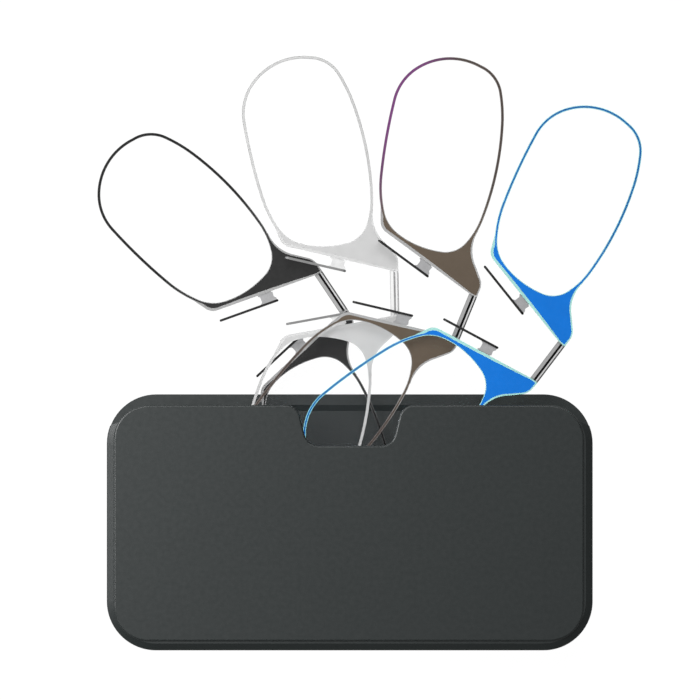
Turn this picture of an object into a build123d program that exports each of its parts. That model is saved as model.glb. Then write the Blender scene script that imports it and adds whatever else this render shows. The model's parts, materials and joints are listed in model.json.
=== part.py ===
"""Pocket case holding four pairs of folding pince-nez reading glasses.

Each pair is two thin lens frames joined by a short nose bridge.  The lens frames
turn on two small pins hidden in the bridge ends, and each carries a slim nose pad
on a flexible arm.  The four pairs stand fanned out of the open top of a flat
pocket case, one behind the other.

Frame: the case lies on its back on z = 0, +Y runs out of its open top, and the
origin is the middle of its back face.  Millimetres.
"""

from build123d import *
import os
from math import atan2, cos, radians, sin

# ---------------------------------------------------------------- pocket case
CASE_WIDTH = 112.0
CASE_HEIGHT = 59.0
CASE_THICKNESS = 12.2
CASE_CORNER = 11.3
CASE_WALL = 1.3
FLOOR = 1.2
CEILING = 11.0
RIM_TOP = 11.7
SEAM = 6.1
TONGUE = 0.8
TONGUE_GAP = 0.05
BACK_EDGE_ROUND = 0.8
RIM_FALL = 0.9
RIM_SLOPE_WIDTH = 1.6
RIM_ROUND = 0.4
RIM_REACH = 3.8

# the raised field on the front shell
PANEL_LEFT = -54.4
PANEL_RIGHT = 54.0
PANEL_BOTTOM = -27.4
PANEL_TOP = 27.05
PANEL_CORNER = 8.0
PANEL_ROUND = 0.45

# where the side walls stop, short of the open top
WALL_END_OUTER = 22.0
WALL_END_INNER = 24.2

# thumb notch in the front shell's top edge
NOTCH_TOP_HALF = 12.1
NOTCH_FLOOR_HALF = 9.8
NOTCH_FLOOR_Y = 17.7
NOTCH_ROUND = 3.4

# thick strip along the back shell's top edge, sloping down to the pocket floor
LIP_HEIGHT = 0.6
LIP_TAPER = 66.8

# lengths this close count as the same
MATCH = 0.01

# ------------------------------------------------------------ stack of glasses
FIRST_LAYER = 3.0
LAYER_PITCH = 2.4
# colour: (x, y of the upper lens centre, turn of its nose direction, layer)
PAIRS = {
    "black": (-38.3, 69.6, -58.7, 0),
    "clear": (-9.4, 85.1, -91.3, 1),
    "brown": (21.2, 84.9, -114.8, 2),
    "blue": (50.2, 74.5, -129.7, 3),
}
SIDES = {"upper": 1, "lower": -1}

# ------------------------------------------- one lens frame, nose towards +X
FRAME_T = 1.2
RIM = 0.65
FACE_T = 0.25
FACE_GAP = 0.15
LENS_GROOVE = 0.2
LENS_SEAT = 0.02
LENS_EDGE_LOW = -0.3
LENS_EDGE_HIGH = 0.2
LENS_CROWN = 0.55
LENS_RADIUS = 650.0

# joints of the tangent arcs along the opening's upper and lower edges, nose to temple
NOSE_END = (21.35, 3.0)
TEMPLE_END = (-21.8, -0.3)
OPENING_TOP = [(20.4, 9.45), (16.4, 13.55), (9.9, 14.4), (-11.9, 9.55), (-18.5, 6.05)]
OPENING_BOTTOM = [(20.7, -1.85), (17.6, -6.4), (10.2, -10.3), (-7.0, -14.85), (-15.3, -13.3)]

# nose plate: from the shoulder over the tip and down the nose edge
SHOULDER = [(12.5, 15.1), (17.6, 15.95), (20.2, 18.0)]
SHOULDER_TOP = [(22.2, 20.0), (23.2, 20.75), (24.6, 21.15)]
TIP = (26.6, 21.2)
TIP_FOOT = (26.5, 19.3)
NOSE_FOOT = (21.7, -4.1)
HEEL = [(21.15, -5.35), (19.7, -6.4)]
HEEL_END = (15.8, -8.2)
PLATE_INSIDE = (10.0, 0.0)
TIP_ROUND = 0.35

# coloured face on the nose plate
FACE_SHOULDER = [(12.5, 14.95), (17.8, 15.6), (20.4, 17.7)]
FACE_SHOULDER_TOP = [(22.4, 19.7), (23.3, 20.45), (24.6, 20.85)]
FACE_TIP = (26.3, 20.85)
FACE_NOSE = [(26.2, 19.5), (23.1, 6.0), (21.15, -3.9)]
FACE_HEEL = [(20.6, -5.0), (19.2, -5.95)]
FACE_HEEL_END = (15.6, -7.85)
FACE_TIP_ROUND = 0.25

# --------------------------------------------------------- bridge and its pins
PIVOT = (25.6, 20.2)
BRIDGE_LENGTH = 12.4
BRIDGE_TURN = 2.5
BAR_WIDTH = 2.0
BAR_SETBACK = 1.3
BAR_TOP = 0.55
LAP_LOW = -0.05
LAP_HIGH = 0.05
POCKET_MARGIN = 0.15
POCKET_REACH = 4.0
PIN_RADIUS = 0.4
PIN_CLEARANCE = 0.05
PIN_LOW = -0.55
PIN_HIGH = 0.28
PIN_HOLE_TOP = 0.33
WIRE_WIDTH = 0.43
WIRE_OFFSET = 0.065
WIRE_FLOOR = 0.12
WIRE_TOP = 0.52
RAIL_ROUND = 0.28

# ------------------------------------------------ nose pads, along the nose edge
PAD_ROOT_Y = 7.15
PAD_GAP = 0.2
PAD_OFFSET = 2.5
PAD_LENGTH = 14.4
PAD_THICKNESS = 0.55
PAD_CENTRE = -4.65
PAD_LOW = -1.6
PAD_HIGH = 0.6
PAD_CORNER = 0.9
ARM_LOW = -0.45
ARM_HIGH = 0.35
ARM_ROOT = (-1.75, 1.9)
ARM_WAIST = (-1.2, 1.8)
ARM_HEAD = (-1.75, 2.3)
ARM_FLARE = 0.4
ARM_LIP = 0.4
ARM_SHOULDER = 0.9
ARM_ROUND = 0.35

# root of the pad arm: a flat tongue that rocks in a slot in the nose edge
ROOT_DEPTH = 0.35
ROOT_WIDTH = 3.2
ROOT_T = 0.4
SLOT_DEPTH = 0.55
SLOT_WIDTH = 3.4
SLOT_T = 0.5

HALF_T = FRAME_T / 2


def save(piece, name):
    """Label a finished piece and write it as one STEP file."""
    piece.part.label = name
    export_step(piece.part, f"parts/{name}.step")


def handed(points, hand):
    """Points of a lens frame, or of its mirror image when hand is -1."""
    return [(hand * x, y) for x, y in points]


# ---------------------------------------------------------------- frames of work
def upper_frame(colour):
    """Plane of a pair's upper lens frame: x towards the nose, at mid-thickness."""
    x, y, turn, layer = PAIRS[colour]
    z = FIRST_LAYER + LAYER_PITCH * layer
    return Plane(origin=(x, y, z), x_dir=(cos(radians(turn)), sin(radians(turn)), 0))


def bridge_frame(colour):
    """Plane of a pair's bridge, centred between its pins, x from upper to lower."""
    frame = upper_frame(colour)
    turn = PAIRS[colour][2] + BRIDGE_TURN
    along = Vector(cos(radians(turn)), sin(radians(turn)), 0)
    pin = frame.from_local_coords(Vector(*PIVOT, 0))
    return Plane(origin=pin + along * (BRIDGE_LENGTH / 2), x_dir=along)


def lower_frame(colour):
    """Plane of a pair's lower lens frame, its nose towards local -x."""
    frame = upper_frame(colour)
    pin = bridge_frame(colour).from_local_coords(Vector(BRIDGE_LENGTH / 2, 0, 0))
    reach = frame.from_local_coords(Vector(-PIVOT[0], PIVOT[1], 0)) - frame.origin
    return Plane(origin=pin - reach, x_dir=frame.x_dir)


def lens_frame(colour, side):
    return upper_frame(colour) if side == "upper" else lower_frame(colour)


def nose_edge_frame(frame, hand):
    """Plane on the nose edge at the pad arm's root: x towards the nose, y up."""
    rise = TIP_FOOT[1] - NOSE_FOOT[1]
    run = TIP_FOOT[0] - NOSE_FOOT[0]
    root_x = NOSE_FOOT[0] + run * (PAD_ROOT_Y - NOSE_FOOT[1]) / rise
    lean = atan2(run, rise)
    root = frame.from_local_coords(Vector(hand * root_x, PAD_ROOT_Y, 0))
    out = frame.from_local_coords(Vector(hand * cos(lean), -sin(lean), 0)) - frame.origin
    return Plane(origin=root, x_dir=out)


# -------------------------------------------------------------------- lens frames
def tangent_arcs(points, tangent):
    """Chain of arcs through the points, each one leaving along the last one's end."""
    for start, end in zip(points, points[1:]):
        arc = TangentArc(start, end, tangent=tangent)
        tangent = arc % 1


def opening_face(hand, grow=0.0):
    """The lens opening, grown outwards, as a private sketch."""
    with BuildSketch(mode=Mode.PRIVATE) as opening:
        with BuildLine():
            tangent_arcs(handed([NOSE_END, *OPENING_TOP, TEMPLE_END], hand), (0, 1))
            tangent_arcs(handed([NOSE_END, *OPENING_BOTTOM, TEMPLE_END], hand), (0, -1))
        make_face()
        if grow:
            offset(amount=grow)
    return opening.sketch


def nose_plate_face(hand):
    """The broad plate between the lens, the bridge and the nose."""
    with BuildSketch(mode=Mode.PRIVATE) as plate:
        with BuildLine():
            ThreePointArc(*handed(SHOULDER, hand))
            Line(*handed([SHOULDER[-1], SHOULDER_TOP[0]], hand))
            ThreePointArc(*handed(SHOULDER_TOP, hand))
            Polyline(*handed([SHOULDER_TOP[-1], TIP, TIP_FOOT, NOSE_FOOT], hand))
            ThreePointArc(*handed([NOSE_FOOT, *HEEL], hand))
            Polyline(*handed([HEEL[-1], HEEL_END, PLATE_INSIDE, SHOULDER[0]], hand))
        make_face()
        tip = plate.vertices().sort_by_distance(Vector(hand * TIP[0], TIP[1], 0))[0]
        fillet(tip, radius=TIP_ROUND)
    return plate.sketch


def colour_plate_face(hand):
    """The coloured field on the nose plate, just inside its edges."""
    with BuildSketch(mode=Mode.PRIVATE) as plate:
        with BuildLine():
            ThreePointArc(*handed(FACE_SHOULDER, hand))
            Line(*handed([FACE_SHOULDER[-1], FACE_SHOULDER_TOP[0]], hand))
            ThreePointArc(*handed(FACE_SHOULDER_TOP, hand))
            Polyline(*handed([FACE_SHOULDER_TOP[-1], FACE_TIP, FACE_NOSE[0]], hand))
            ThreePointArc(*handed(FACE_NOSE, hand))
            ThreePointArc(*handed([FACE_NOSE[-1], *FACE_HEEL], hand))
            Polyline(*handed([FACE_HEEL[-1], FACE_HEEL_END, PLATE_INSIDE, FACE_SHOULDER[0]], hand))
        make_face()
        tip = plate.vertices().sort_by_distance(Vector(hand * FACE_TIP[0], FACE_TIP[1], 0))[0]
        fillet(tip, radius=FACE_TIP_ROUND)
    return plate.sketch


def colour_face(hand):
    """Whole outline of the coloured face: a thin ring that widens to the plate."""
    with BuildSketch(mode=Mode.PRIVATE) as face:
        add(opening_face(hand, RIM - FACE_GAP))
        add(colour_plate_face(hand))
        add(opening_face(hand, FACE_GAP), mode=Mode.SUBTRACT)
    return face.sketch


def make_rim(frame, hand):
    """Clear moulded frame: lens groove, seat for the colour, half-lapped tip."""
    pivot = (hand * PIVOT[0], PIVOT[1])
    margin = BAR_WIDTH / 2 + POCKET_MARGIN
    with BuildPart() as rim:
        with BuildSketch(frame.offset(-HALF_T)):
            add(opening_face(hand, RIM))
            add(nose_plate_face(hand))
            add(opening_face(hand), mode=Mode.SUBTRACT)
        extrude(amount=FRAME_T)
        # groove that holds the lens edge
        with BuildSketch(frame.offset(LENS_EDGE_LOW)):
            add(opening_face(hand, LENS_GROOVE))
        extrude(amount=LENS_EDGE_HIGH - LENS_EDGE_LOW, mode=Mode.SUBTRACT)
        # shallow seat for the coloured face
        with BuildSketch(frame.offset(HALF_T - FACE_T)):
            add(colour_face(hand))
        extrude(amount=FACE_T, mode=Mode.SUBTRACT)
        # back half of the tip cut away so that the bridge eye can turn in it
        with BuildSketch(frame.offset(-HALF_T)):
            with Locations(pivot):
                Circle(margin)
            with Locations((pivot[0] + hand * POCKET_REACH / 2, pivot[1] + (POCKET_REACH - margin) / 2)):
                Rectangle(POCKET_REACH, POCKET_REACH + margin)
            with Locations((pivot[0] + hand * (POCKET_REACH - margin) / 2, pivot[1] + POCKET_REACH / 2)):
                Rectangle(POCKET_REACH + margin, POCKET_REACH)
        extrude(amount=HALF_T + LAP_HIGH, mode=Mode.SUBTRACT)
        # blind hole for the hinge pin in the front half
        with BuildSketch(frame):
            with Locations(pivot):
                Circle(PIN_RADIUS + PIN_CLEARANCE)
        extrude(amount=PIN_HOLE_TOP, mode=Mode.SUBTRACT)
        # slot for the root of the pad arm
        with BuildSketch(nose_edge_frame(frame, hand)):
            Rectangle(2 * SLOT_DEPTH, SLOT_WIDTH)
        extrude(amount=SLOT_T / 2, both=True, mode=Mode.SUBTRACT)
    return rim


def make_face_plate(frame, hand):
    """Thin coloured face seated flush in the front of the rim."""
    with BuildPart() as face:
        with BuildSketch(frame.offset(HALF_T - FACE_T)):
            add(colour_face(hand))
        extrude(amount=FACE_T)
    return face


def make_lens(frame, hand):
    """Flat-backed lens with a faint crown, its edge seated in the rim's groove."""
    crown_centre = frame.offset(LENS_CROWN - LENS_RADIUS)
    with BuildPart() as lens:
        with BuildSketch(frame.offset(LENS_EDGE_LOW)):
            add(opening_face(hand, -LENS_SEAT))
        extrude(amount=LENS_CROWN - LENS_EDGE_LOW)
        with Locations(crown_centre):
            Sphere(LENS_RADIUS, mode=Mode.INTERSECT)
        with BuildSketch(frame.offset(LENS_EDGE_LOW)):
            add(opening_face(hand, LENS_GROOVE - LENS_SEAT))
        extrude(amount=LENS_EDGE_HIGH - LENS_EDGE_LOW)
    return lens


# --------------------------------------------------------------------- nose pads
def make_pad_arm(edge, hand):
    """Short flexible arm, waisted between its root and the head that holds the pad."""
    head = PAD_OFFSET - PAD_THICKNESS / 2
    outline = [
        (PAD_GAP, ARM_ROOT[0]),
        (PAD_GAP + ARM_FLARE, ARM_WAIST[0]),
        (head - ARM_FLARE, ARM_WAIST[0]),
        (head, ARM_HEAD[0]),
        (head, ARM_HEAD[1]),
        (head - ARM_LIP, ARM_HEAD[1]),
        (head - ARM_SHOULDER, ARM_WAIST[1]),
        (PAD_GAP, ARM_ROOT[1]),
    ]
    with BuildPart() as arm:
        with BuildSketch(edge.offset(ARM_LOW)) as profile:
            with BuildLine():
                Polyline(*[(out, hand * up) for out, up in outline], close=True)
            make_face()
            waist = profile.vertices().filter_by(lambda v: PAD_GAP < v.X - ARM_FLARE / 2 < head - ARM_FLARE)
            fillet(waist, radius=ARM_ROUND)
        extrude(amount=ARM_HIGH - ARM_LOW)
        with BuildSketch(edge):
            with Locations((PAD_GAP, 0)):
                Rectangle(ROOT_DEPTH + PAD_GAP, ROOT_WIDTH, align=(Align.MAX, Align.CENTER))
        extrude(amount=ROOT_T / 2, both=True)
    return arm


def make_pad(edge, hand):
    """Slim upright strip that rests against the side of the nose."""
    middle = edge.from_local_coords(Vector(PAD_OFFSET, hand * PAD_CENTRE, (PAD_LOW + PAD_HIGH) / 2))
    strip = Plane(origin=middle, x_dir=edge.y_dir, z_dir=edge.x_dir)
    with BuildPart() as pad:
        with BuildSketch(strip):
            RectangleRounded(PAD_LENGTH, PAD_HIGH - PAD_LOW, PAD_CORNER)
        extrude(amount=PAD_THICKNESS / 2, both=True)
        with BuildSketch(Plane(origin=middle, x_dir=edge.y_dir, z_dir=edge.z_dir)):
            SlotOverall(PAD_LENGTH, PAD_THICKNESS)
        extrude(amount=(PAD_HIGH - PAD_LOW) / 2, both=True, mode=Mode.INTERSECT)
    return pad


# ------------------------------------------------------------------------ bridge
def make_bar(frame):
    """Bridge bar: lapped eyes at both ends, a groove along its front for the wire."""
    front_length = BRIDGE_LENGTH - 2 * BAR_SETBACK
    with BuildPart() as bar:
        with BuildSketch(frame.offset(-HALF_T)):
            SlotCenterToCenter(BRIDGE_LENGTH, BAR_WIDTH)
            with Locations((-BRIDGE_LENGTH / 2, 0), (BRIDGE_LENGTH / 2, 0)):
                Circle(PIN_RADIUS, mode=Mode.SUBTRACT)
        extrude(amount=HALF_T + LAP_LOW)
        with BuildSketch(frame.offset(LAP_LOW)):
            Rectangle(front_length, BAR_WIDTH)
        extrude(amount=BAR_TOP - LAP_LOW)
        rail = bar.edges().filter_by(lambda e: e.length > front_length - MATCH)
        rail = rail.sort_by(Axis(frame.origin, frame.z_dir))[-2:]
        fillet(rail.sort_by(Axis(frame.origin, frame.y_dir))[-1], radius=RAIL_ROUND)
        with BuildSketch(frame.offset(WIRE_FLOOR)):
            with Locations((0, WIRE_OFFSET)):
                Rectangle(front_length, WIRE_WIDTH)
        extrude(amount=HALF_T, mode=Mode.SUBTRACT)
    return bar


def make_wire(frame):
    """Flat spring wire lying in the bar's groove."""
    with BuildPart() as wire:
        with BuildSketch(frame.offset(WIRE_FLOOR)):
            with Locations((0, WIRE_OFFSET)):
                Rectangle(BRIDGE_LENGTH - 2 * BAR_SETBACK, WIRE_WIDTH)
        extrude(amount=WIRE_TOP - WIRE_FLOOR)
    return wire


def make_pins(frame):
    """The two hinge pins, pressed into the bar's eyes and free in the lens frames."""
    with BuildPart() as pins:
        with BuildSketch(frame.offset(PIN_LOW)):
            with Locations((-BRIDGE_LENGTH / 2, 0), (BRIDGE_LENGTH / 2, 0)):
                Circle(PIN_RADIUS)
        extrude(amount=PIN_HIGH - PIN_LOW)
    return pins


# -------------------------------------------------------------------------- case
def wall_zone():
    """Area where the case has side walls: all of it below the open top's corners."""
    slope = (WALL_END_INNER - WALL_END_OUTER) / (CASE_CORNER / 2)
    outer_x = CASE_WIDTH / 2
    inner_x = outer_x - CASE_CORNER / 2
    below = -CASE_HEIGHT
    with BuildSketch(mode=Mode.PRIVATE) as zone:
        with BuildLine():
            Polyline(
                (-outer_x, below),
                (outer_x, below),
                (outer_x, WALL_END_INNER - slope * (outer_x - inner_x)),
                (inner_x, WALL_END_INNER),
                (-inner_x, WALL_END_INNER),
                (-outer_x, WALL_END_INNER - slope * (outer_x - inner_x)),
                close=True,
            )
        make_face()
    return zone.sketch


def case_outline(inset=0.0):
    """Outline of the whole case, or of its inside, as a private sketch."""
    with BuildSketch(mode=Mode.PRIVATE) as outline:
        width = CASE_WIDTH - 2 * inset
        RectangleRounded(width, CASE_HEIGHT - 2 * inset, CASE_CORNER - inset)
    return outline.sketch


def wall_face(outer_inset, inner_inset):
    """Plan of the side walls between two insets from the case outline."""
    with BuildSketch(mode=Mode.PRIVATE) as walls:
        add(case_outline(outer_inset))
        add(case_outline(inner_inset), mode=Mode.SUBTRACT)
        add(wall_zone(), mode=Mode.INTERSECT)
    return walls.sketch


def notched(plan):
    """A front shell plan with the thumb notch taken out of its top edge."""
    with BuildSketch(mode=Mode.PRIVATE) as cut:
        add(plan)
        with BuildLine():
            Polyline(
                (-NOTCH_TOP_HALF, PANEL_TOP),
                (-NOTCH_FLOOR_HALF, NOTCH_FLOOR_Y),
                (NOTCH_FLOOR_HALF, NOTCH_FLOOR_Y),
                (NOTCH_TOP_HALF, PANEL_TOP),
                close=True,
            )
        make_face(mode=Mode.SUBTRACT)
        corners = cut.vertices().filter_by(lambda v: abs(v.X) < NOTCH_TOP_HALF + MATCH and v.Y > 0)
        fillet(corners, radius=NOTCH_ROUND)
    return cut.sketch


def panel_plan():
    """Plain outline of the raised panel."""
    middle = ((PANEL_LEFT + PANEL_RIGHT) / 2, (PANEL_BOTTOM + PANEL_TOP) / 2)
    with BuildSketch(mode=Mode.PRIVATE) as panel:
        with Locations(middle):
            RectangleRounded(PANEL_RIGHT - PANEL_LEFT, PANEL_TOP - PANEL_BOTTOM, PANEL_CORNER)
    return panel.sketch


def cover_plan():
    """Plain outline of the whole front shell: its rim and the panel."""
    with BuildSketch(mode=Mode.PRIVATE) as cover:
        add(case_outline())
        add(wall_zone(), mode=Mode.INTERSECT)
        add(panel_plan())
    return cover.sketch


def make_back_shell():
    """Tray: floor, lower half of the side walls, raised lip along the open top."""
    with BuildPart() as lip:
        with BuildSketch(Plane.XY.offset(FLOOR / 2)):
            add(case_outline())
            with Locations((0, PANEL_TOP - PANEL_CORNER)):
                above = (Align.CENTER, Align.MIN)
                Rectangle(CASE_WIDTH, CASE_HEIGHT, align=above, mode=Mode.INTERSECT)
        extrude(amount=FLOOR / 2 + LIP_HEIGHT)
        with BuildSketch(Plane.XY.offset(FLOOR + LIP_HEIGHT)):
            add(panel_plan())
        extrude(amount=-LIP_HEIGHT, taper=LIP_TAPER, mode=Mode.SUBTRACT)
    with BuildPart() as shell:
        with BuildSketch():
            add(case_outline())
        extrude(amount=FLOOR)
        with BuildSketch():
            add(wall_face(0, CASE_WALL))
        extrude(amount=SEAM)
        with BuildSketch(Plane.XY.offset(FLOOR)):
            add(wall_face(CASE_WALL / 2, CASE_WALL))
        extrude(amount=SEAM + TONGUE - FLOOR)
        add(lip.part)
        fillet(shell.edges().group_by(Axis.Z)[0], radius=BACK_EDGE_ROUND)
    return shell


def on_rim(edge):
    """True for an edge that runs along the case outline below the open top."""
    middle = edge @ 0.5
    beside = abs(middle.X) > CASE_WIDTH / 2 - RIM_REACH and middle.Y < WALL_END_OUTER
    return beside or middle.Y < PANEL_BOTTOM - CASE_WALL / 2


def below_rim(edge):
    """True for an edge at the foot of the rim's slope."""
    foot = RIM_TOP - RIM_FALL
    return abs((edge @ 0).Z - foot) < MATCH and abs((edge @ 1).Z - foot) < MATCH


def make_front_shell():
    """Cover: upper half of the walls, lower rim, raised panel with a thumb notch."""
    with BuildPart() as shell:
        with BuildSketch(Plane.XY.offset(CEILING)):
            add(notched(cover_plan()))
        extrude(amount=RIM_TOP - CEILING)
        with BuildSketch(Plane.XY.offset(SEAM)):
            add(wall_face(0, CASE_WALL))
        extrude(amount=CEILING - SEAM)
        with BuildSketch(Plane.XY.offset(SEAM)):
            add(wall_face(CASE_WALL / 2 - TONGUE_GAP, CASE_WALL))
        extrude(amount=TONGUE + TONGUE_GAP, mode=Mode.SUBTRACT)
        rim = shell.edges().group_by(Axis.Z)[-1].filter_by(on_rim)
        chamfer(rim, length=RIM_SLOPE_WIDTH, length2=RIM_FALL, reference=shell.faces().sort_by(Axis.Z)[-1])
        fillet(shell.edges().filter_by(below_rim).filter_by(on_rim), radius=RIM_ROUND)
        with BuildSketch(Plane.XY.offset(RIM_TOP)):
            add(notched(panel_plan()))
        extrude(amount=CASE_THICKNESS - RIM_TOP)
        fillet(shell.edges().group_by(Axis.Z)[-1], radius=PANEL_ROUND)
    return shell


# -------------------------------------------------------------------- write parts
def write_case():
    save(make_back_shell(), "case_back_shell")
    save(make_front_shell(), "case_front_shell")


def write_lens_unit(colour, side):
    frame = lens_frame(colour, side)
    hand = SIDES[side]
    edge = nose_edge_frame(frame, hand)
    save(make_rim(frame, hand), f"{colour}_{side}_rim")
    save(make_face_plate(frame, hand), f"{colour}_{side}_face")
    save(make_lens(frame, hand), f"{colour}_{side}_lens")
    save(make_pad_arm(edge, hand), f"{colour}_{side}_pad_arm")
    save(make_pad(edge, hand), f"{colour}_{side}_pad")


def write_bridge(colour):
    frame = bridge_frame(colour)
    save(make_bar(frame), f"{colour}_bridge_bar")
    save(make_wire(frame), f"{colour}_bridge_wire")
    save(make_pins(frame), f"{colour}_hinge_pins")


os.makedirs("parts", exist_ok=True)
write_case()
for colour in PAIRS:
    write_bridge(colour)
    for side in SIDES:
        write_lens_unit(colour, side)
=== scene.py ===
"""Looks for the pocket case with four pairs of folding pince-nez glasses."""
import bpy
import json
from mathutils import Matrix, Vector


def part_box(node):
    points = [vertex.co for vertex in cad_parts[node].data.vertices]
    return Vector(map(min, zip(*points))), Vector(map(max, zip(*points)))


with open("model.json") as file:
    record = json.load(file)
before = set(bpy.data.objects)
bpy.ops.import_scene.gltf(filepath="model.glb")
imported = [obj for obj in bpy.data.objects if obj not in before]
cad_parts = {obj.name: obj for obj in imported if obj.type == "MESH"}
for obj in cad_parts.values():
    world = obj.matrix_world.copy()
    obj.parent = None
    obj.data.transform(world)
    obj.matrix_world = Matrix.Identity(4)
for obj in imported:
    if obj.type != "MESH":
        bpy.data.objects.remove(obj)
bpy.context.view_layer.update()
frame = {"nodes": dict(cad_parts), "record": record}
NODES = frame["nodes"]
PIVOTS = {joint["name"]: Vector(joint["pos_m"]) for joint in frame["record"]["behaviour"]["joints"]
          if "pos_m" in joint}
COLOURS = ("black", "clear", "brown", "blue")
SIDES = ("upper", "lower")

# ------------------------------------------------------------------ node helpers
# most of a noise texture lies between these two values
NOISE_LOW = 0.3
NOISE_HIGH = 0.7
ROUGHNESS_DETAIL = 4.0
GRAIN_DETAIL = 3.0
SATIN_SPREAD = 0.15

# sockets of a Mix node that are used when it mixes colours
MIX_FACTOR = 0
MIX_FIRST = 6
MIX_SECOND = 7
MIX_RESULT = 2


def grey(tone):
    """A colour with no tint."""
    return (tone, tone, tone)


def middle_of(node):
    """Middle of a node's box at rest."""
    low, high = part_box(node)
    return (Vector(low) + Vector(high)) / 2


def new_material(name):
    """A material with its node tree and its Principled shader."""
    material = bpy.data.materials.new(name)
    material.use_nodes = True
    tree = material.node_tree
    return material, tree, tree.nodes["Principled BSDF"]


def object_place(tree):
    """Point on the part in its own coordinates, which keep still on the part when it moves."""
    return tree.nodes.new("ShaderNodeTexCoord").outputs["Object"]


def object_noise(tree, scale, detail=2.0):
    """Noise in the part's own coordinates, scale in lumps per metre."""
    noise = tree.nodes.new("ShaderNodeTexNoise")
    noise.inputs["Scale"].default_value = scale
    noise.inputs["Detail"].default_value = detail
    tree.links.new(object_place(tree), noise.inputs["Vector"])
    return noise.outputs["Fac"]


def distance_along(tree, origin, direction):
    """Distance in metres from the origin, measured along the direction."""
    shift = tree.nodes.new("ShaderNodeVectorMath")
    shift.operation = "SUBTRACT"
    shift.inputs[1].default_value = origin
    dot = tree.nodes.new("ShaderNodeVectorMath")
    dot.operation = "DOT_PRODUCT"
    dot.inputs[1].default_value = direction
    tree.links.new(object_place(tree), shift.inputs[0])
    tree.links.new(shift.outputs["Vector"], dot.inputs[0])
    return dot.outputs["Value"]


def spread(tree, value, start, end, low=0.0, high=1.0):
    """Value from start to end becomes low to high, and stays there outside."""
    node = tree.nodes.new("ShaderNodeMapRange")
    node.inputs["From Min"].default_value = start
    node.inputs["From Max"].default_value = end
    node.inputs["To Min"].default_value = low
    node.inputs["To Max"].default_value = high
    tree.links.new(value, node.inputs["Value"])
    return node.outputs["Result"]


def colour_ramp(tree, factor, stops, mode="LINEAR"):
    """Colour from a list of (position, colour) stops."""
    node = tree.nodes.new("ShaderNodeValToRGB")
    ramp = node.color_ramp
    ramp.interpolation = mode
    while len(ramp.elements) < len(stops):
        ramp.elements.new(1.0)
    for element, (position, colour) in zip(ramp.elements, stops):
        element.position = position
        element.color = (*colour, 1)
    tree.links.new(factor, node.inputs["Fac"])
    return node.outputs["Color"]


def mix_colour(tree, factor, first, second, blend="MIX"):
    """Blend of two colours; the factor and each colour is a socket or fixed."""
    node = tree.nodes.new("ShaderNodeMix")
    node.data_type = "RGBA"
    node.blend_type = blend
    if isinstance(factor, float):
        node.inputs[MIX_FACTOR].default_value = factor
    else:
        tree.links.new(factor, node.inputs[MIX_FACTOR])
    for place, colour in ((MIX_FIRST, first), (MIX_SECOND, second)):
        if isinstance(colour, tuple):
            node.inputs[place].default_value = (*colour, 1)
        else:
            tree.links.new(colour, node.inputs[place])
    return node.outputs[MIX_RESULT]


def drift(tree, colour, scale, amount):
    """The colour, a little lighter and darker from place to place."""
    stops = [(NOISE_LOW, grey(1 - amount)), (NOISE_HIGH, grey(1.0))]
    tone = colour_ramp(tree, object_noise(tree, scale), stops)
    return mix_colour(tree, 1.0, colour, tone, "MULTIPLY")


def vary_roughness(tree, shader, low, high, scale):
    """Roughness that wanders between two values, scale in lumps per metre."""
    noise = object_noise(tree, scale, ROUGHNESS_DETAIL)
    roughness = spread(tree, noise, NOISE_LOW, NOISE_HIGH, low, high)
    tree.links.new(roughness, shader.inputs["Roughness"])


def satin_finish(tree, shader, satin, scale):
    """Roughness a little below and above the given one."""
    low = satin * (1 - SATIN_SPREAD)
    high = satin * (1 + SATIN_SPREAD)
    vary_roughness(tree, shader, low, high, scale)


def add_grain(tree, shader, scale, depth):
    """Fine surface texture, depth in metres."""
    bump = tree.nodes.new("ShaderNodeBump")
    bump.inputs["Strength"].default_value = 1.0
    bump.inputs["Distance"].default_value = depth
    tree.links.new(object_noise(tree, scale, GRAIN_DETAIL), bump.inputs["Height"])
    tree.links.new(bump.outputs["Normal"], shader.inputs["Normal"])


def paint(node, material):
    """Gives a CAD node its one material."""
    slots = NODES[node].data.materials
    slots.clear()
    slots.append(material)


# --------------------------------------------------------------------- materials
CASE_TONE = (0.0115, 0.0150, 0.0150)

# metres from the middle of the lens towards the nose, where ring turns to plate
PLATE_START = 0.004
PLATE_FULL = 0.018

# painted violet sheen on the outer top of the brown pair's upper ring
VIOLET_UNIT = "brown_upper"
VIOLET_SHEEN_TONE = (0.16, 0.035, 0.17)
VIOLET_SHEEN_TOWARDS = Vector((-0.9, 0.44, 0))
VIOLET_SHEEN_START = 0.006
VIOLET_SHEEN_FULL = 0.014
VIOLET_SHEEN_SHARE = 0.7

LENS_SHEEN_TONE = (0.82, 0.86, 1.0, 1)
LENS_SHEEN_STRAIGHT = 0.003
LENS_SHEEN_SLANT = 0.22

# painted highlight and shade bands across a bridge bar: grey tones, each from its place on to the
# next
BAR_HALF = 0.001
BAR_LIGHT_AND_SHADE_BANDS = {
    "dark": [(0.0, 0.14), (0.05, 0.26), (0.40, 0.012), (0.67, 0.42), (0.83, 0.07), (0.97, 0.25)],
    "pale": [(0.0, 0.40), (0.08, 0.60), (0.40, 0.38), (0.48, 0.62), (0.80, 0.36), (0.90, 0.56)],
}

RIM_SATIN = 0.15
RIM_CLEARNESS = 0.15
FACE_SATIN = 0.35

# each as (tone of the thin ring, tone of the nose plate)
LOOKS = {
    "black": {
        "face": (grey(0.004), grey(0.018)),
        "rim": (grey(0.05), grey(0.30)),
    },
    "clear": {
        "face": (grey(0.40), grey(0.41)),
        "rim": (grey(0.38), grey(0.52)),
    },
    "brown": {
        "face": ((0.05, 0.040, 0.034), (0.088, 0.068, 0.050)),
        "rim": ((0.14, 0.12, 0.115), grey(0.33)),
    },
    "blue": {
        "face": ((0.005, 0.09, 0.3), (0.0035, 0.131, 0.5)),
        "rim": ((0.22, 0.50, 0.56), (0.32, 0.58, 0.54)),
    },
}


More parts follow.
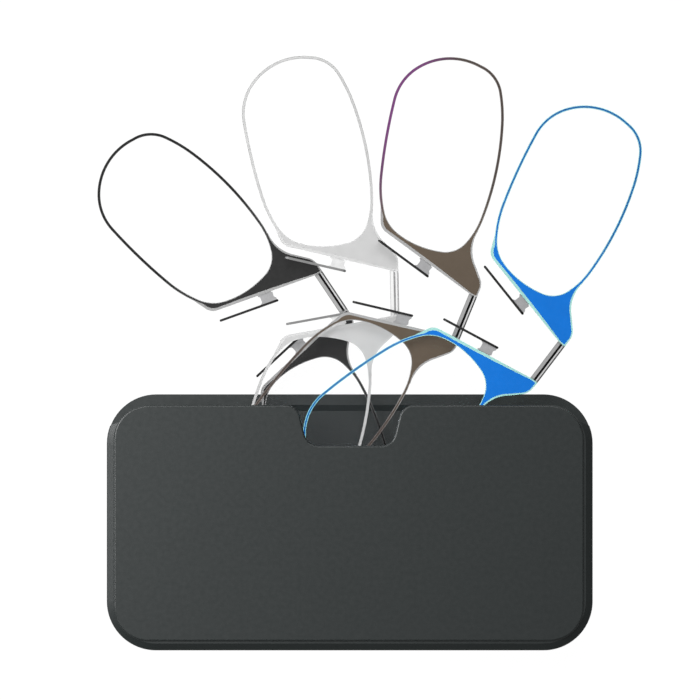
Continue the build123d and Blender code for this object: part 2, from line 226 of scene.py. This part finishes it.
def case_material():
    """Dark grey soft-touch plastic of the case."""
    material, tree, shader = new_material("case_soft_touch")
    colour = drift(tree, CASE_TONE, scale=45, amount=0.06)
    tree.links.new(colour, shader.inputs["Base Color"])
    vary_roughness(tree, shader, low=0.4, high=0.46, scale=900)
    add_grain(tree, shader, scale=5200, depth=0.000002)
    shader.inputs["Specular IOR Level"].default_value = 0.5
    return material


def plate_share(tree, unit):
    """0 on the thin ring of a lens frame, 1 on its nose plate."""
    centre = middle_of(f"{unit}_lens")
    root = PIVOTS[f"{unit}_pad_flex"]
    direction = Vector((root.x - centre.x, root.y - centre.y, 0)).normalized()
    return spread(tree, distance_along(tree, centre, direction), PLATE_START, PLATE_FULL)


def add_painted_violet_sheen(tree, colour):
    """The colour, with a painted violet sheen that grows away from the nose and up."""
    along = distance_along(tree, middle_of(f"{VIOLET_UNIT}_lens"), VIOLET_SHEEN_TOWARDS)
    share = spread(tree, along, VIOLET_SHEEN_START, VIOLET_SHEEN_FULL, 0, VIOLET_SHEEN_SHARE)
    return mix_colour(tree, share, colour, VIOLET_SHEEN_TONE)


def frame_material(name, unit, ring, plate, satin, clearness=0.0):
    """Plastic of a lens frame: one tone on the thin ring, another on the nose plate."""
    material, tree, shader = new_material(name)
    colour = mix_colour(tree, plate_share(tree, unit), ring, plate)
    # the brown pair's upper frame gets a painted violet sheen in its base colour
    if unit == VIOLET_UNIT:
        colour = add_painted_violet_sheen(tree, colour)
    tree.links.new(drift(tree, colour, scale=300, amount=0.06), shader.inputs["Base Color"])
    satin_finish(tree, shader, satin, scale=1200)
    shader.inputs["Transmission Weight"].default_value = clearness
    shader.inputs["Specular IOR Level"].default_value = 0.2
    return material


def lens_material():
    """Coated lens: clear straight through, with a faint sheen at a slant."""
    material, tree, shader = new_material("lens_coated")
    tree.nodes.remove(shader)
    see_through = tree.nodes.new("ShaderNodeBsdfTransparent")
    gloss = tree.nodes.new("ShaderNodeBsdfGlossy")
    gloss.inputs["Roughness"].default_value = 0.03
    gloss.inputs["Color"].default_value = LENS_SHEEN_TONE
    slant = tree.nodes.new("ShaderNodeLayerWeight")
    slant.inputs["Blend"].default_value = 0.25
    mix = tree.nodes.new("ShaderNodeMixShader")
    share = spread(tree, slant.outputs["Facing"], 0.0, 1.0, LENS_SHEEN_STRAIGHT, LENS_SHEEN_SLANT)
    tree.links.new(share, mix.inputs["Fac"])
    tree.links.new(see_through.outputs["BSDF"], mix.inputs[1])
    tree.links.new(gloss.outputs["BSDF"], mix.inputs[2])
    tree.links.new(mix.outputs["Shader"], tree.nodes["Material Output"].inputs["Surface"])
    return material


def plain_plastic(name, tone, satin):
    """Plastic or rubber of one tone that drifts a little."""
    material, tree, shader = new_material(name)
    tree.links.new(drift(tree, tone, scale=900, amount=0.12), shader.inputs["Base Color"])
    satin_finish(tree, shader, satin, scale=2500)
    shader.inputs["Specular IOR Level"].default_value = 0.3
    return material


def bar_painted_light_material(colour):
    """Bridge bar: lengthwise bands of its own matte grey, with painted shade lines in black and
    dark grey and a painted white highlight.
    """
    material, tree, shader = new_material(f"bridge_bar_{colour}")
    upper = PIVOTS[f"{colour}_upper_pivot"]
    lower = PIVOTS[f"{colour}_lower_pivot"]
    run = (lower - upper).normalized()
    across = Vector((-run.y, run.x, 0))
    place = spread(tree, distance_along(tree, upper, across), -BAR_HALF, BAR_HALF)
    bands = BAR_LIGHT_AND_SHADE_BANDS["pale" if colour == "clear" else "dark"]
    stops = [(position, grey(tone)) for position, tone in bands]
    # the bands paint a polished rod's highlight and shade into the base colour
    tree.links.new(colour_ramp(tree, place, stops, "CONSTANT"), shader.inputs["Base Color"])
    vary_roughness(tree, shader, low=0.35, high=0.5, scale=2500)
    return material


def metal(name, tone):
    """Satin metal of one tone that drifts a little."""
    material, tree, shader = new_material(name)
    tree.links.new(drift(tree, tone, scale=1500, amount=0.2), shader.inputs["Base Color"])
    vary_roughness(tree, shader, low=0.28, high=0.42, scale=4000)
    shader.inputs["Metallic"].default_value = 1.0
    return material


def paint_case():
    """Both case shells, in one material."""
    case = case_material()
    for node in ("case_back_shell", "case_front_shell"):
        paint(node, case)


def paint_lens_unit(unit, look, lens, small):
    """One lens frame with its lens and its nose pad."""
    rim = frame_material(f"rim_{unit}", unit, *look["rim"], RIM_SATIN, RIM_CLEARNESS)
    face = frame_material(f"face_{unit}", unit, *look["face"], FACE_SATIN)
    paint(f"{unit}_rim", rim)
    paint(f"{unit}_face", face)
    paint(f"{unit}_lens", lens)
    paint(f"{unit}_pad_arm", small["arm"])
    paint(f"{unit}_pad", small["pad"])


def paint_pairs():
    """All four pairs; the clear one has pale small parts, the others dark ones."""
    lens = lens_material()
    pin = metal("pin_steel", (0.5, 0.5, 0.51))
    dark = {
        "arm": plain_plastic("pad_arm_smoke", (0.28, 0.28, 0.285), satin=0.3),
        "pad": plain_plastic("pad_black", grey(0.004), satin=0.55),
        "wire": metal("wire_dark", grey(0.012)),
    }
    pale = {
        "arm": plain_plastic("pad_arm_clear", grey(0.54), satin=0.3),
        "pad": plain_plastic("pad_grey", grey(0.16), satin=0.5),
        "wire": metal("wire_pale", grey(0.6)),
    }
    for colour in COLOURS:
        small = pale if colour == "clear" else dark
        paint(f"{colour}_bridge_bar", bar_painted_light_material(colour))
        paint(f"{colour}_bridge_wire", small["wire"])
        paint(f"{colour}_hinge_pins", pin)
        for side in SIDES:
            paint_lens_unit(f"{colour}_{side}", LOOKS[colour], lens, small)


# ------------------------------------------------------------------------- stage
# the camera stands far off, so that the stacked layers show hardly any perspective
SENSOR = 36.0
VIEW_WIDTH = 0.16147
CAMERA_HEIGHT = 4.0
FOCUS_HEIGHT = 0.008
VIEW_ASIDE = 0.00006
VIEW_ALONG = 0.03974
FAR_CLIP = 20

KEY_PLACE = (-0.26, 0.12, 0.30)
KEY_TARGET = (0, 0.02, 0)
KEY_SIZE = (0.16, 0.16)
KEY_POWER = 1.95
KEY_POWER_WITH_SHADOWS = 0.65
FILL_PLACE = (0.1, 0.8, 0.8)
FILL_TARGET = (0, 0.06, 0)
FILL_SIZE = (0.8, 0.4)
FILL_POWER = 4.5

FLOOR_SIZE = 4.0
FLOOR_MIDDLE = (0, 0.04, 0)
FLOOR_GLOW_SEEN = 0.97
FLOOR_GLOW_THROWN = 0.5

# the studio's brightness from the horizon up to straight overhead
SKY = [(0.0, grey(0.1)), (0.5, grey(0.4)), (1.0, grey(0.55))]
SKY_STRENGTH = 0.5

# a ray passes every lens surface in the stack, and none may stop it
LENS_PASSES = 40


def add_camera():
    """Looks straight down, with the case in the picture's lower half."""
    data = bpy.data.cameras.new("camera")
    data.sensor_width = SENSOR
    data.lens = SENSOR * (CAMERA_HEIGHT - FOCUS_HEIGHT) / VIEW_WIDTH
    data.clip_end = FAR_CLIP
    camera = bpy.data.objects.new("camera", data)
    camera.location = (middle_of("case_back_shell").x + VIEW_ASIDE, VIEW_ALONG, CAMERA_HEIGHT)
    bpy.context.scene.collection.objects.link(camera)
    bpy.context.scene.camera = camera


def add_softbox(name, place, target, size, power, shadows=True):
    """Rectangular lamp at a place, turned to its target."""
    data = bpy.data.lights.new(name, "AREA")
    data.shape = "RECTANGLE"
    data.size, data.size_y = size
    data.energy = power
    data.use_shadow = shadows
    light = bpy.data.objects.new(name, data)
    light.location = place
    gaze = Vector(target) - light.location
    light.rotation_euler = gaze.to_track_quat("-Z", "Y").to_euler()
    bpy.context.scene.collection.objects.link(light)


def floor_material():
    """Pure white to the eye, while it throws only a little light up on the case."""
    material, tree, shader = new_material("floor_white")
    tree.links.new(drift(tree, grey(0.04), scale=3, amount=0.1), shader.inputs["Base Color"])
    shader.inputs["Roughness"].default_value = 0.9
    shader.inputs["Specular IOR Level"].default_value = 0.0
    shader.inputs["Emission Color"].default_value = (1, 1, 1, 1)
    seen = tree.nodes.new("ShaderNodeLightPath").outputs["Is Camera Ray"]
    strength = spread(tree, seen, 0.0, 1.0, FLOOR_GLOW_THROWN, FLOOR_GLOW_SEEN)
    tree.links.new(strength, shader.inputs["Emission Strength"])
    return material


def studio_world():
    """Bright overhead, dim towards the horizon."""
    world = bpy.data.worlds.new("studio")
    world.use_nodes = True
    tree = world.node_tree
    split = tree.nodes.new("ShaderNodeSeparateXYZ")
    direction = tree.nodes.new("ShaderNodeTexCoord").outputs["Generated"]
    tree.links.new(direction, split.inputs["Vector"])
    glow = colour_ramp(tree, split.outputs["Z"], SKY)
    tree.links.new(glow, tree.nodes["Background"].inputs["Color"])
    tree.nodes["Background"].inputs["Strength"].default_value = SKY_STRENGTH
    return world


def add_stage():
    """Floor, sky and lamps; most of the key light casts no shadow."""
    bpy.ops.mesh.primitive_plane_add(size=FLOOR_SIZE, location=FLOOR_MIDDLE)
    floor = bpy.context.object
    floor.name = "floor"
    floor.data.materials.append(floor_material())
    scene = bpy.context.scene
    scene.world = studio_world()
    scene.view_settings.view_transform = "Standard"
    scene.cycles.transparent_max_bounces = LENS_PASSES
    add_softbox("key", KEY_PLACE, KEY_TARGET, KEY_SIZE, KEY_POWER, shadows=False)
    add_softbox("key_with_shadows", KEY_PLACE, KEY_TARGET, KEY_SIZE, KEY_POWER_WITH_SHADOWS)
    add_softbox("fill", FILL_PLACE, FILL_TARGET, FILL_SIZE, FILL_POWER)


paint_case()
paint_pairs()
add_camera()
add_stage()
